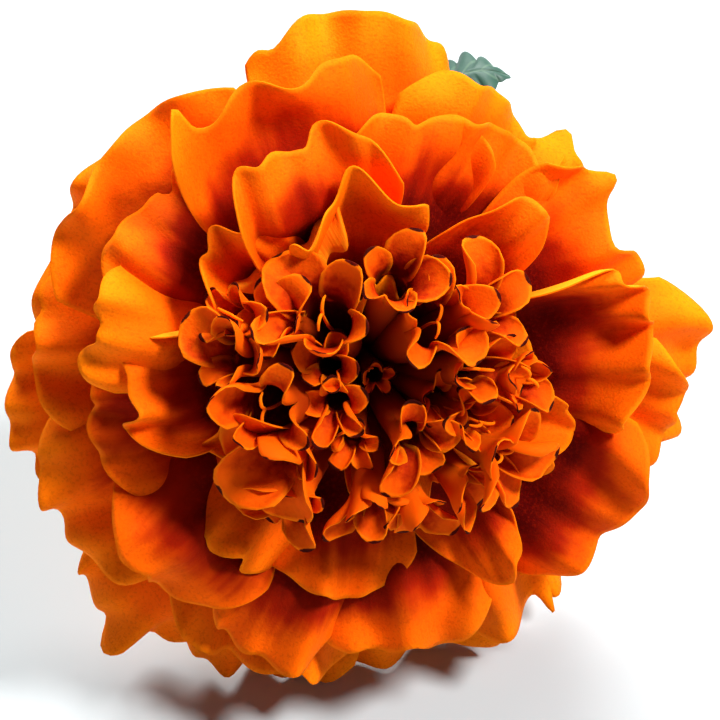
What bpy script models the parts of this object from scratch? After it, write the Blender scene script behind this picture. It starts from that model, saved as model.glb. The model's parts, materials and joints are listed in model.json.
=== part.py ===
"""A double French marigold, cut with a short stem and laid down, in Blender 4.5.

The head lies tipped back: it rests on its lower ray petals and on the stem behind it.
Every ray petal is a thin sheet with a narrow claw, which stands in the green cup, and a
broad blade, which leans out over the cup's mouth. Five whorls of them stand one inside
the other, and the inner whorls lean out less. Tubular florets fill the middle.

Lengths below are millimetres. The head is modelled about its own axis, +Z, with +Y its
upper side, and an empty tips it into place. The finished part stands on z = 0.
"""

from math import cos, radians, sin

import bmesh
import bpy
import numpy as np
from mathutils import Matrix, Vector

MM = 0.001

# ---- How the flower lies ----
HEAD_ELEVATION = radians(25)  # the head's axis above the table
HEAD_CENTRE = Vector((-0.4, -20.5, 27.4))  # middle of the cup's mouth
TABLE_GAP = 0.12  # a petal's middle surface rests this far above the table
TABLE_EASE = 0.6  # how softly a petal bends where it meets the table

# ---- Ray petals ----
PETAL_THICKNESS = 0.3
CLAW_HALF = 0.7
BEND_RUN = 5.0  # length over which a claw turns outwards
RIM_DROP = 0.30  # share of the blade by which its corners are shorter than its middle
ROLL = radians(9)  # each petal turns about its length, so neighbours overlap one way
FRILL_WAVES = 24  # waves of the rim round a whole whorl
PETAL_ROWS = 8
PETAL_COLUMNS = 6
ROW_BIAS = 1.35  # above 1, the rows lie closer together where the claw bends
RING_STEP = 1.0  # whorls stand this far apart, in radius and in height
OUTER_RING = 7.7
OUTER_FOOT = -7.0

# name: (lean of the blade, extra curl of its tip, bend across it, frill), in degrees
WHORLS = {
    "outer": (101, 12, -14, 3),
    "second": (82, 14, -10, 3),
    "third": (64, 14, -6, 3),
    "fourth": (48, 12, 4, 3),
    "fifth": (33, 12, 8, 3),
}

# name: rows of (direction round the head in degrees, blade's length, blade's width)
PETALS = {
    "outer": [
        (83, 21, 16),
        (57, 16.5, 13),
        (21, 15.5, 12),
        (-16, 23, 16.5),
        (-42, 23.5, 12.5),
        (-63, 24.5, 12),
        (-86, 23, 15),
        (-113, 24.5, 14.5),
        (-136, 26, 14),
        (-171, 21.5, 13),
        (151, 19.5, 16),
        (118, 16, 13),
    ],
    "second": [
        (99, 19.5, 16),
        (52, 16, 11.5),
        (17, 19, 13.5),
        (-24, 21, 15),
        (-46, 18.5, 13.5),
        (-72, 21, 13),
        (-118, 20.5, 13.5),
        (-155, 22.5, 15),
        (168, 20, 15),
        (126, 21, 15),
    ],
    "third": [
        (101, 20, 13),
        (70, 15.5, 12),
        (6, 17.5, 14),
        (-38, 15, 12),
        (-91, 20, 14),
        (-117, 18, 11),
        (-143, 20.5, 13),
        (-174, 19, 12),
        (163, 20.5, 10.5),
        (136, 19.5, 11.5),
    ],
    "fourth": [
        (98, 17, 9),
        (54, 15, 8),
        (166, 17, 9),
        (131, 15.5, 8),
        (-127, 15.5, 9.5),
        (-97, 15, 9.5),
        (-63, 16, 9),
        (-28, 15, 9),
    ],
    "fifth": [
        (116, 14, 8),
        (72, 12, 7),
        (18, 12, 7),
        (-150, 13, 8),
        (-78, 12, 7),
    ],
}

# ---- Tubular florets ----
FLORET_WALL = 0.2
FLORET_FOOT = -3.0  # height of the florets' feet
FLORET_COLUMNS = 10  # a tip and a notch for each of five lobes
FLORET_LOBES = 5
TUBE_RADIUS = 0.5
THROAT_RADIUS = 1.0
LOBE_NOTCH = 0.45  # share of the lobe's length that a notch takes away

# rows of (number, first direction in degrees, foot's and mouth's distance from the axis,
# mouth's height, tilt in degrees, mouth's own radius)
FLORET_RINGS = [
    (8, 4, 2.0, 7.3, 12.6, 34, 2.4),
    (3, 72, 0.75, 2.4, 8.4, 8, 1.7),
]

# ---- Cup, receptacle, stem and leaf ----
CUP_RADIUS = 8.8
CUP_WALL = 0.5
CUP_MOUTH = -1.7
CUP_BOTTOM = -15.6
CUP_FLOOR = -8.8
JOIN_GAP = 0.3  # pieces that grow together stand this far apart
STEM_RADIUS = 1.35
STEM_NECK_RADIUS = 1.9
STEM_SIDES = 12
# points after the neck, from the middle of the cup's mouth: across, back, height on the table
STEM_ROUTE = [(0.6, 22.0, 16.6), (3.2, 33.0, 9.6), (7.2, 45.0, 3.9), (12.2, 58.5, STEM_RADIUS)]
LEAF_SPAN = 11.0
LEAF_RISE = 10.0
LEAF_WIDTH = 9.0
LEAF_THICKNESS = 0.3
LEAF_STEM_SHARE = 0.6  # how far down the last stretch of stem the leaf grows

STEPS = 32  # steps of the sum along a petal


def clear_scene():
    for item in list(bpy.data.objects):
        bpy.data.objects.remove(item, do_unlink=True)


def material(name, colour, roughness):
    made = bpy.data.materials.new(name)
    made.use_nodes = True
    shader = made.node_tree.nodes["Principled BSDF"]
    shader.inputs["Base Color"].default_value = (*colour, 1.0)
    shader.inputs["Roughness"].default_value = roughness
    shader.inputs["Metallic"].default_value = 0.0
    made.diffuse_color = (*colour, 1.0)
    return made


def add_object(name, data, collection, finish, parent=None):
    made = bpy.data.objects.new(name, data)
    collection.objects.link(made)
    made.data.materials.append(finish)
    made.parent = parent
    return made


def thicken(item, thickness):
    solid = item.modifiers.new("thickness", "SOLIDIFY")
    solid.thickness = thickness * MM
    solid.offset = 0.0


def ease(t):
    t = np.clip(t, 0.0, 1.0)
    return t * t * (3.0 - 2.0 * t)


def rest_on_table(points):
    """Head points in millimetres, with those that would sink into the table laid on it."""
    rise = np.array([0.0, cos(HEAD_ELEVATION), sin(HEAD_ELEVATION)])
    height = HEAD_CENTRE.z + points @ rise
    laid = (height + TABLE_GAP + np.hypot(height - TABLE_GAP, TABLE_EASE)) / 2
    near = ease((3.0 - height) / 2.0)
    return points + (near * (laid - height))[:, None] * rise


def petal_points(u, v, whorl, turn, blade, width):
    """Points of a petal's middle surface: u is 0 at its foot, 1 at its rim; v is -1 to 1 across."""
    number = list(WHORLS).index(whorl)
    lean, curl, bend, frill = (radians(angle) for angle in WHORLS[whorl])
    ring = OUTER_RING - number * RING_STEP
    foot = OUTER_FOOT + number * RING_STEP
    claw = -foot
    reach = u * (claw + blade * (1.0 - RIM_DROP * np.abs(v) ** 2.6))
    around = radians(turn) + v * width / (2.0 * (ring + blade))

    def tilt_at(run):
        along = np.clip((run - claw) / blade, 0.0, 1.0)
        tilt = lean * ease((run - 0.75 * claw) / BEND_RUN) + curl * ease((along - 0.45) / 0.55)
        return tilt + frill * along**1.2 * np.sin(FRILL_WAVES * around + number)

    shares = (np.arange(STEPS)[:, None] + 0.5) / STEPS
    tilts = tilt_at(shares * reach)
    out = reach * np.sin(tilts).mean(axis=0)
    up = reach * np.cos(tilts).mean(axis=0)
    tilt = tilt_at(reach)

    along = np.clip((reach - claw) / blade, 0.0, 1.0)
    half = CLAW_HALF + (width / 2 - CLAW_HALF) * np.sin(0.6 * np.pi * along) ** 0.95
    cross = bend * v * ease(along / 0.35)
    side = half * v * np.cos(cross / 2)
    lift = half * v * np.sin(cross / 2)
    roll = ROLL * ease(reach / claw)
    side, lift = side * np.cos(roll) - lift * np.sin(roll), side * np.sin(roll) + lift * np.cos(roll)

    radius = ring + out - lift * np.cos(tilt)
    height = foot + up + lift * np.sin(tilt)
    angle = radians(turn)
    across = radius * cos(angle) - side * sin(angle)
    upward = radius * sin(angle) + side * cos(angle)
    return rest_on_table(np.stack([across, upward, height], axis=1))


def shape_mesh(name, bm, points):
    for vertex, point in zip(bm.verts, points):
        vertex.co = Vector(point) * MM
    bmesh.ops.recalc_face_normals(bm, faces=bm.faces)
    mesh = bpy.data.meshes.new(name)
    bm.to_mesh(mesh)
    bm.free()
    return mesh


def sheet_grid(columns, rows):
    """A flat grid, with each vertex's u along it and v across it."""
    bm = bmesh.new()
    bmesh.ops.create_grid(bm, x_segments=columns, y_segments=rows, size=1.0)
    v = np.array([vertex.co.x for vertex in bm.verts])
    u = np.array([vertex.co.y / 2 + 0.5 for vertex in bm.verts])
    return bm, u, v


def make_petals(head, collection, finish):
    for whorl, rows in PETALS.items():
        for number, (turn, blade, width) in enumerate(rows, start=1):
            name = f"{whorl}_petal_{number:02d}"
            bm, u, v = sheet_grid(PETAL_COLUMNS, PETAL_ROWS)
            points = petal_points(u**ROW_BIAS, v, whorl, turn, blade, width)
            petal = add_object(name, shape_mesh(name, bm, points), collection, finish, head)
            thicken(petal, PETAL_THICKNESS)


def floret_points(u, v, turn, foot_out, mouth_out, mouth_height, tilt, mouth_radius):
    """Points of a floret's wall: u is 0 at the foot and 1 at the lobes' tips, v goes round it."""
    around = v * np.pi
    tube = ease(u / 0.7)
    flare = np.clip((u - 0.6) / 0.4, 0.0, 1.0)
    lobe = 1.0 - LOBE_NOTCH * (0.5 - 0.5 * np.cos(FLORET_LOBES * around)) * flare
    radius = TUBE_RADIUS + (THROAT_RADIUS - TUBE_RADIUS) * tube
    radius = radius + (mouth_radius - THROAT_RADIUS) * flare**1.3 * lobe
    length = mouth_height - FLORET_FOOT
    rise = length * np.minimum(u / 0.6, 1.0) + 1.6 * np.sin(flare * np.pi / 2) * lobe
    lean = radians(tilt) * ease(u / 0.9)
    drift = foot_out + (mouth_out - foot_out) * np.minimum(u / 0.6, 1.0) ** 1.6
    outward = radius * np.cos(around)
    above = np.maximum(rise - length, 0.0)
    x = drift + outward * np.cos(lean) + above * np.sin(lean)
    z = FLORET_FOOT + np.minimum(rise, length) - outward * np.sin(lean) + above * np.cos(lean)
    y = radius * np.sin(around)
    angle = radians(turn)
    return np.stack([x * cos(angle) - y * sin(angle), x * sin(angle) + y * cos(angle), z], axis=1)


def floret_tube(rows):
    """An open tube with its lower end closed, with each vertex's u along it and v round it."""
    bm = bmesh.new()
    bmesh.ops.create_grid(bm, x_segments=FLORET_COLUMNS, y_segments=rows, size=1.0)
    seam = [vertex for vertex in bm.verts if abs(vertex.co.x) > 0.999]
    for vertex in seam:
        vertex.co.x = 1.0
    bmesh.ops.remove_doubles(bm, verts=seam, dist=1e-4)
    lowest = [edge for edge in bm.edges if all(end.co.y < -0.999 for end in edge.verts)]
    bmesh.ops.edgeloop_fill(bm, edges=lowest)
    v = np.array([vertex.co.x for vertex in bm.verts])
    u = np.array([vertex.co.y / 2 + 0.5 for vertex in bm.verts])
    return bm, u, v


def make_florets(head, collection, finish):
    number = 0
    for count, first, *shape in FLORET_RINGS:
        for place in range(count):
            number += 1
            name = f"disc_floret_{number:02d}"
            turn = first + place * 360 / count
            bm, u, v = floret_tube(rows=5)
            points = floret_points(u, v, turn, *shape)
            floret = add_object(name, shape_mesh(name, bm, points), collection, finish, head)
            thicken(floret, FLORET_WALL)


def turned(name, profile, collection, finish, parent, sides=24):
    """A solid turned about +Z from a closed profile of (radius, height) points."""
    bm = bmesh.new()
    ring = [bm.verts.new((radius * MM, 0.0, height * MM)) for radius, height in profile]
    for start, end in zip(ring, ring[1:]):
        bm.edges.new((start, end))
    mesh = bpy.data.meshes.new(name)
    bm.to_mesh(mesh)
    bm.free()
    made = add_object(name, mesh, collection, finish, parent)
    screw = made.modifiers.new("turn", "SCREW")
    screw.steps = sides
    screw.render_steps = sides
    screw.use_merge_vertices = True
    screw.merge_threshold = 0.00001
    screw.use_normal_flip = True
    return made


def make_cup(head, collection, finish):
    inside = CUP_RADIUS - CUP_WALL
    profile = [
        (0.0, CUP_BOTTOM),
        (STEM_NECK_RADIUS, CUP_BOTTOM),
        (0.52 * CUP_RADIUS, CUP_BOTTOM + 1.6),
        (0.84 * CUP_RADIUS, CUP_BOTTOM + 4.4),
        (0.97 * CUP_RADIUS, CUP_FLOOR),
        (CUP_RADIUS, 0.5 * CUP_FLOOR),
        (CUP_RADIUS, CUP_MOUTH),
        (inside, CUP_MOUTH),
        (inside, CUP_FLOOR),
        (0.0, CUP_FLOOR),
    ]
    turned("involucre", profile, collection, finish, head)


def make_receptacle(head, collection, finish):
    """The dome inside the cup, which every claw and floret stands on."""
    edge = CUP_RADIUS - CUP_WALL - JOIN_GAP
    slope_top = OUTER_FOOT + (OUTER_RING - edge) - 2 * JOIN_GAP
    crown = 3.6
    profile = [
        (0.0, CUP_FLOOR + JOIN_GAP),
        (edge, CUP_FLOOR + JOIN_GAP),
        (edge, slope_top),
        (crown, slope_top + edge - crown),
        (0.6 * crown, FLORET_FOOT - 1.5 * JOIN_GAP),
        (0.0, FLORET_FOOT - JOIN_GAP - 0.1),
    ]
    turned("receptacle", profile, collection, finish, head)


def head_matrix():
    """Tips the head's +Z axis from straight up towards -Y, and moves it to its place."""
    return Matrix.Translation(HEAD_CENTRE * MM) @ Matrix.Rotation(radians(90) - HEAD_ELEVATION, 4, "X")


def stem_points():
    """The stem's route in the finished part, from the cup down to its cut end."""
    tip = head_matrix()
    neck = [tip @ (Vector((0.0, 0.0, CUP_BOTTOM - JOIN_GAP - run)) * MM) for run in (0.0, 2.5)]
    rest = [Vector((HEAD_CENTRE.x + x, HEAD_CENTRE.y + back, z)) * MM for x, back, z in STEM_ROUTE]
    return neck + rest


def make_stem(collection, finish):
    curve = bpy.data.curves.new("peduncle", "CURVE")
    curve.dimensions = "3D"
    curve.bevel_depth = STEM_RADIUS * MM
    curve.bevel_resolution = STEM_SIDES // 4 - 1
    curve.resolution_u = 6
    curve.use_fill_caps = True
    points = stem_points()
    spline = curve.splines.new("BEZIER")
    spline.bezier_points.add(len(points) - 1)
    for place, point in zip(spline.bezier_points, points):
        place.co = point
        place.handle_left_type = "AUTO"
        place.handle_right_type = "AUTO"
        place.radius = 1.0
    spline.bezier_points[0].radius = STEM_NECK_RADIUS / STEM_RADIUS
    add_object("peduncle", curve, collection, finish)


def leaf_points(u, v):
    """A small lobed leaf that arches up from the stem's side and hangs over at its tip."""
    end, before = (Vector(STEM_ROUTE[-1]), Vector(STEM_ROUTE[-2]))
    joint = before.lerp(end, LEAF_STEM_SHARE)
    lobes = 0.62 + 0.38 * np.cos(4.6 * (u - 0.62)) * np.abs(v) ** 0.7
    half = 0.6 + LEAF_WIDTH / 2 * np.sin(np.pi * np.clip(u, 0, 1) ** 0.8) ** 1.4 * lobes
    half = np.where(u < 0.2, 0.6 + (half - 0.6) * ease(u / 0.2), half)
    start = STEM_RADIUS + JOIN_GAP + 0.2
    x = HEAD_CENTRE.x + joint.x + start + LEAF_SPAN * (u + 0.12 * np.abs(v) * np.sin(np.pi * u))
    y = HEAD_CENTRE.y + joint.y + v * half
    z = joint.z + LEAF_RISE * np.sin(0.68 * np.pi * u) - 1.2 * v * v * np.sin(np.pi * u)
    return np.stack([x, y, z], axis=1)


def make_leaf(collection, finish):
    bm, u, v = sheet_grid(6, 8)
    leaf = add_object("leaf", shape_mesh("leaf", bm, leaf_points(u, v)), collection, finish)
    thicken(leaf, LEAF_THICKNESS)


def main():
    clear_scene()
    collection = bpy.data.collections.new("marigold_flower")
    bpy.context.scene.collection.children.link(collection)
    orange = material("ray_petal", (0.90, 0.22, 0.01), 0.55)
    deep_orange = material("disc_floret", (0.80, 0.13, 0.01), 0.55)
    green = material("green_cup", (0.16, 0.26, 0.06), 0.6)
    pith = material("receptacle", (0.55, 0.60, 0.30), 0.7)
    stem_green = material("stem", (0.20, 0.30, 0.08), 0.6)
    leaf_green = material("leaf", (0.10, 0.22, 0.12), 0.6)

    head = bpy.data.objects.new("head", None)
    collection.objects.link(head)
    head.matrix_world = head_matrix()
    make_petals(head, collection, orange)
    make_florets(head, collection, deep_orange)
    make_cup(head, collection, green)
    make_receptacle(head, collection, pith)
    make_stem(collection, stem_green)
    make_leaf(collection, leaf_green)


main()
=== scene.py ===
"""The looks of a double French marigold that lies on its rim and its cut stem.

The petals follow the same rule as the CAD solids: a claw that stands in the green cup, and a
blade that leans out of it. Here each blade also waves, curls at its sides and tip and has its
own rim. The florets in the middle are tubes with oval lobes. Petals, florets and cup are in
millimetres about the head's own axis, +Z, until place() takes them into the part's frame. The
stem and the leaf are in millimetres in the part's frame from the start.
"""

import json
from math import cos, pi, radians, sin
from random import Random

import bmesh
import bpy
import numpy as np
from mathutils import Matrix, Vector, noise

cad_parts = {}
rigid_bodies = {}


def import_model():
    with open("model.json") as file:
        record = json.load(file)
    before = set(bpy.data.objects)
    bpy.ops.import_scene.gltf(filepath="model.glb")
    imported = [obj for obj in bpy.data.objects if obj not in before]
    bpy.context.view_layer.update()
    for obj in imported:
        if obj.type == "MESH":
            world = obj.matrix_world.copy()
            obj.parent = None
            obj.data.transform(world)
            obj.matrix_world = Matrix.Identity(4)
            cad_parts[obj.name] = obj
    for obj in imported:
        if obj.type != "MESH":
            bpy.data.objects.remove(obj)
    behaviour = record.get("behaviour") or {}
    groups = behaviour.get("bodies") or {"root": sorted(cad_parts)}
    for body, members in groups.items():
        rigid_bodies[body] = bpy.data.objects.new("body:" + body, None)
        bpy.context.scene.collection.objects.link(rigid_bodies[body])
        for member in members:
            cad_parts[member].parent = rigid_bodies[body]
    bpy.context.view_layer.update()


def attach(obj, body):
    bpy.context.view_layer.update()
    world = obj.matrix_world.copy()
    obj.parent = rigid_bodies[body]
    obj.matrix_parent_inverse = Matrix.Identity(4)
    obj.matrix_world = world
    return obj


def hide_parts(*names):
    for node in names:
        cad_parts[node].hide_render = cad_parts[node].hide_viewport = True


MM = 0.001

# ---- How the flower lies and where its pieces stand, as in the CAD model ----
HEAD_ELEVATION = radians(25)  # the head's axis above the table
HEAD_CENTRE = Vector((-0.4, -20.5, 27.4))  # the head's origin, 1.7 mm in front of the cup's wall
TABLE_GAP = 0.18  # no point of a petal's upper surface is nearer the table
TABLE_EASE = 0.6  # how softly a petal bends where it meets the table
TABLE_REACH = 3.0  # petals bend only below this height
TABLE_FADE = 2.0  # and do so fully this far below that
BEND_RUN = 5.0  # length over which a claw turns outwards
ROLL = 9.0  # degrees that each petal turns about its length
RING_STEP = 1.0  # whorls stand this far apart, in radius and in height
OUTER_RING = 7.7
OUTER_FOOT = -7.0
FLORET_FOOT = -3.0

STEPS = 28  # steps of the sums along and across a blade

# ---- Ray petals ----
PETAL_ROWS = 46
PETAL_COLUMNS = 44
PETAL_THICKNESS = 0.26
RIM_RUN = 1.2  # a sheet thins towards its rim over this length
SWELL_ACROSS = 5.0  # size of the soft swells of a blade
SWELL_ALONG = 5.5

# lean of the blade, curl of its outer part, bend across it and height of the rim's waves, in
# degrees; number of waves; the claw's half width; share of the blade that the blotch covers
WHORLS = {
    "outer": dict(lean=101, curl=12, bend=-14, wave=10, waves=1.7, claw_half=0.7, blotch=0.44),
    "second": dict(lean=82, curl=14, bend=-10, wave=10, waves=1.7, claw_half=0.7, blotch=0.58),
    "third": dict(lean=64, curl=14, bend=-6, wave=9, waves=1.5, claw_half=0.7, blotch=0.72),
    "fourth": dict(lean=48, curl=12, bend=8, wave=12, waves=1.5, claw_half=0.6, blotch=0.64),
    "fifth": dict(lean=33, curl=12, bend=14, wave=14, waves=1.3, claw_half=0.5, blotch=0.55),
}

# Direction round the head, blade's length, blade's width, and what sets this petal apart.
# Angles are in degrees. ccw and cw lift the counter-clockwise and the clockwise margin, and
# below zero they roll it under. tip curls the rim outwards, or inwards below zero. drop and
# square shape the corners. ruffle is the height of the fine waves by the rim, and ruffles is
# their number. A notch is (middle across the blade, depth, spread), with its depth as a share
# of the blade's length, and a depth below zero is a spike.
PETALS = {
    "outer": [
        (83, 20, 20, dict(tip=-8, wave=6, notches=[(0.72, 0.08, 0.12), (-0.4, 0.03, 0.2)])),
        (56, 16, 15, dict(square=4.0)),
        (28, 16.6, 15, dict(notches=[(-0.3, 0.08, 0.2), (0.6, -0.15, 0.10)])),
        (-16, 22.5, 20, dict(square=4.5, wave=8, notches=[(-0.95, 0.1, 0.15)])),
        (-43, 23, 17, dict(notches=[(0.85, -0.16, 0.12), (-0.85, -0.18, 0.12), (0.1, 0.10, 0.35)])),
        (-65, 23.5, 15, dict(notches=[(-0.55, -0.14, 0.08), (0.3, 0.08, 0.3), (-0.9, 0.1, 0.1)])),
        (-86, 23, 20, dict(wave=6, lean=95)),
        (-113, 24, 18, dict(wave=6, lean=96)),
        (-134, 25, 16, dict(notches=[(0.1, -0.07, 0.10), (-0.5, 0.06, 0.3)])),
        (-171, 22, 15, dict(square=6.0, wave=6, drop=0.16)),
        (151, 19, 20, dict(wave=6)),
        (124, 17, 18, dict(wave=6, notches=[(-0.75, 0.16, 0.22), (0.3, 0.03, 0.15)])),
    ],
    "second": [
        (101, 19.5, 20, dict(ccw=18, cw=-40, wave=6, lean=74, blotch=0.68,
                             notches=[(0.93, -0.22, 0.12), (0.6, 0.05, 0.15), (-0.2, 0.03, 0.12)])),
        (52, 15.8, 15, dict(notches=[(-0.7, -0.16, 0.05), (-0.4, 0.05, 0.1)])),
        (20, 17.8, 18, dict(wave=13, ruffle=13, ccw=-12, cw=-35, tip=14, blotch=0.66,
                           notches=[(0.5, -0.08, 0.10), (0.1, 0.10, 0.2), (-0.5, 0.03, 0.1)])),
        (-24, 20.5, 19, dict(wave=8, notches=[(-0.88, -0.16, 0.12), (-0.5, 0.05, 0.15), (0.4, 0.03, 0.1)])),
        (-46, 18.5, 15, {}),
        (-72, 21, 16, dict(bend=-24, wave=13, notches=[(0.9, -0.2, 0.12), (-0.1, 0.06, 0.15)])),
        (-114, 21.5, 18, dict(tip=-12, bend=-22, wave=14, blotch=0.6)),
        (-158, 22, 18, dict(tip=28, ccw=-30)),
        (170, 20, 16, dict(cw=-30, lean=90)),
        (135, 20.2, 22, dict(wave=7, cw=10, ccw=-20, tip=6)),
    ],
    "third": [
        (103, 20, 15, dict(ccw=66, cw=50, tip=36, bend=4, wave=6, lean=52)),
        (70, 17.5, 13, dict(ccw=10, cw=-40, tip=24, lean=70)),
        (6, 19.5, 17, dict(ccw=56, cw=10, bend=22, curl=4, tip=-10, wave=6, ruffle=16)),
        (-40, 21, 18, dict(ccw=-20, cw=-30, tip=16, blotch=0.80, lean=68)),
        (-86, 20.5, 17, dict(ccw=-44, cw=-20, tip=30, ruffle=10, lean=64, blotch=0.66)),
        (-117, 22, 15, dict(bend=-34, ccw=-40, cw=-56, tip=22, lean=64, blotch=0.6, wave=7,
                            drop=0.3, square=2.8)),
        (-146, 21.5, 17, dict(ccw=-44, cw=-30, tip=40, bend=-4, wave=12, lean=58, blotch=0.66,
                              drop=0.34, square=2.6)),
        (-178, 18, 14, dict(ccw=10, cw=-50, tip=30, lean=70)),
        (160, 20, 13, dict(ccw=-50, cw=-20, tip=26, bend=-24, blotch=0.5, lean=60)),
        (135, 19.5, 15, dict(ccw=10, cw=-20, tip=60, wave=8, lean=72)),
    ],
    "fourth": [
        (94, 18.5, 12.5, dict(bend=34, tip=-18, curl=2, blotch=0.4, lean=50, square=4.5, drop=0.14,
                              ruffle=4, cw=10, ccw=20, notches=[(0.15, 0.07, 0.14)])),
        (44, 19, 10, dict(cw=165, ccw=-10, drop=0.55, square=1.7, lean=56)),
        (173, 18, 12, dict(ccw=36, cw=40, bend=30, tip=10, lean=58)),
        (126, 17, 11, dict(ccw=40, cw=20, tip=22, lean=52)),
        (-139, 17, 14, dict(bend=-22, tip=16, lean=54, drop=0.34, square=2.6, cw=-20, ccw=-10)),
        (-105, 16.5, 14, dict(bend=-14, tip=10, ruffle=12, ruffles=3.6, lean=54, drop=0.3, square=2.8)),
        (-60, 19, 11, dict(ccw=95, bend=14, drop=0.55, square=1.7, lean=60)),
        (-26, 15, 10, dict(ccw=30, tip=20, lean=56)),
    ],
    "fifth": [
        (115, 17, 12, dict(bend=-10, curl=0, tip=-165, wave=4, lean=54, cw=0, ccw=0)),
        (72, 14, 9, dict(ccw=60, cw=30)),
        (18, 14, 10, dict(ccw=45, cw=60, tip=20, lean=42)),
        (-166, 15, 10, dict(ccw=60, cw=50, bend=26)),
        (-78, 12.5, 8.5, dict(ccw=50, cw=20)),
    ],
}

# ---- Disc florets ----
TUBE_ROWS = 10
TUBE_RADIUS = 0.5
LOBE_ROWS = 16
LOBE_COLUMNS = 10
FLORET_WALL = 0.16
FLORET_SPREAD = 0.87  # of every mouth's distance from the axis
FAR_FROM_RIM = 3.0  # what a tube's points say for their distance from a rim
FAR_FROM_TIP = 9.0

# direction, foot's and mouth's distance from the axis, mouth's height, tilt, lobes' length,
# throat's radius, number of lobes, and the CAD floret that it stands for, or 0 for none
FLORETS = [
    (22, 2.0, 7.6, 13.2, 34, 4.2, 1.2, 5, 1),
    (59, 2.0, 8.5, 13.4, 36, 4.6, 2.0, 5, 2),
    (82, 2.0, 11.0, 13.2, 42, 4.0, 1.3, 5, 3),
    (116, 2.0, 9.3, 13.2, 38, 4.8, 1.9, 5, 4),
    (169, 2.0, 9.6, 13.8, 34, 4.8, 2.0, 4, 5),
    (-166, 2.0, 7.2, 12.4, 42, 6.0, 1.1, 5, 6),
    (-78, 2.0, 8.0, 12.4, 46, 4.4, 1.0, 5, 7),
    (-28, 2.0, 9.2, 12.6, 46, 5.4, 1.2, 5, 8),
    (86, 0.8, 1.8, 9.6, 6, 1.8, 0.7, 5, 9),
    (164, 0.8, 3.8, 12.4, 14, 3.6, 0.9, 5, 10),
    (-51, 0.8, 3.0, 12.6, 16, 4.4, 1.2, 5, 11),
    (43, 2.4, 11.2, 13.0, 48, 4.8, 1.6, 5, 0),
    (8, 2.4, 10.4, 12.6, 44, 4.2, 1.1, 5, 0),
    (-12, 2.2, 6.8, 12.8, 34, 4.0, 1.1, 6, 0),
    (-103, 2.0, 7.0, 12.4, 40, 5.0, 1.2, 5, 0),
    (130, 2.4, 11.4, 12.8, 48, 3.8, 1.0, 5, 0),
    (140, 2.6, 14.0, 12.0, 56, 4.0, 1.1, 5, 0),
    (133, 1.6, 6.0, 12.4, 22, 3.2, 0.9, 5, 0),
    (-132, 1.0, 3.6, 11.6, 18, 3.2, 0.8, 5, 0),
    (4, 1.2, 4.6, 12.0, 20, 3.0, 0.8, 5, 0),
    (-50, 2.4, 8.6, 12.0, 46, 4.4, 1.1, 5, 0),
    (-140, 2.2, 9.4, 12.0, 48, 4.6, 1.1, 5, 0),
    (152, 2.4, 12.6, 12.6, 50, 4.2, 1.2, 5, 0),
]

# florets whose forked styles stand out of the mouth, and how far they do
STYLES = {1: 2.4, 2: 2.0, 4: 2.6, 5: 1.6, 8: 2.2, 13: 3.0, 14: 2.2, 17: 2.4}
STYLE_RADIUS = 0.14
STYLE_ROOT = 2.0  # a style starts this far below the mouth, on a straight line

# ---- Cup, stem and leaf ----
CUP_COLUMNS = 208
CUP_TEETH = 13
CUP_BOTTOM = -15.6
CUP_PROFILE = [
    (1.9, CUP_BOTTOM),
    (3.1, -15.1),
    (4.6, -14.0),
    (7.2, -11.4),
    (8.35, -9.0),
    (8.65, -6.5),
    (8.75, -4.0),
    (8.75, -1.7),
]
CUP_STEPS = 9  # rows between two points of the profile
CUP_WALL = 0.45
RIB_HEIGHT = 0.16
RIB_SINK = 0.10  # the grooves between the ribs lie this far inside the profile
FINE_RIB_HEIGHT = 0.035
TOOTH_LENGTH = 1.3
LINING_DEPTH = 30  # rows that the inner wall goes down from the mouth
LINING_STEP = 4
NECK_RUNS = (15.9, 18.4)  # behind the head's origin, along its axis
NECK_RADIUS = 1.9
STEM_RADIUS = 1.35
STEM_COLUMNS = 48
STEM_RIDGES = 8
# the cut end, from its edge to its middle: share of the radius, depth, and mark for the skin
STEM_CUT = [(0.94, -0.03, 1.1), (0.80, 0.02, 1.2), (0.55, 0.08, 1.5), (0.34, 0.22, 1.8), (0.0, 0.5, 2.0)]
# points after the neck: across and back from the head's origin, and height on the table
STEM_ROUTE = [(0.6, 22.0, 16.6), (3.2, 33.0, 9.6), (7.2, 45.0, 3.9), (12.2, 58.5, 1.35)]
LEAF_SPAN = 12.6
LEAF_RISE = 8.0
LEAF_WIDTH = 9.0
LEAF_JOINT = (10.2, 53.1, 2.37)  # three fifths of the way between the route's last two points
LEAF_START = 1.85  # across from the joint
LEAF_THICKNESS = 0.3
LEAF_TEETH = 7  # on each side
LEAF_ROWS = 90
LEAF_COLUMNS = 40

# ---- Stage ----
CAMERA_AZIMUTH = radians(-10)
CAMERA_ELEVATION = radians(45)
CAMERA_LENS = 150
CAMERA_DISTANCE = 240
AIM_RIGHT = 0.4  # the camera aims this far beside and below the head's origin
AIM_DOWN = 0.64
KEY_FROM = (0.22, -0.11, 0.37)
BACK_FROM = (0.04, 0.30, 0.37)
FLOOR_SIZE = 6.0


def ease(t):
    t = np.clip(t, 0.0, 1.0)
    return t * t * (3.0 - 2.0 * t)


# ---------------------------------------------------------------- placing

RISE = np.array([0.0, cos(HEAD_ELEVATION), sin(HEAD_ELEVATION)])
TIP_BACK = np.array(Matrix.Rotation(radians(90) - HEAD_ELEVATION, 3, "X"))


def place(points):
    """Head points in millimetres taken into the part's frame, in metres."""
    return (points @ TIP_BACK.T + np.array(HEAD_CENTRE)) * MM


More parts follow.
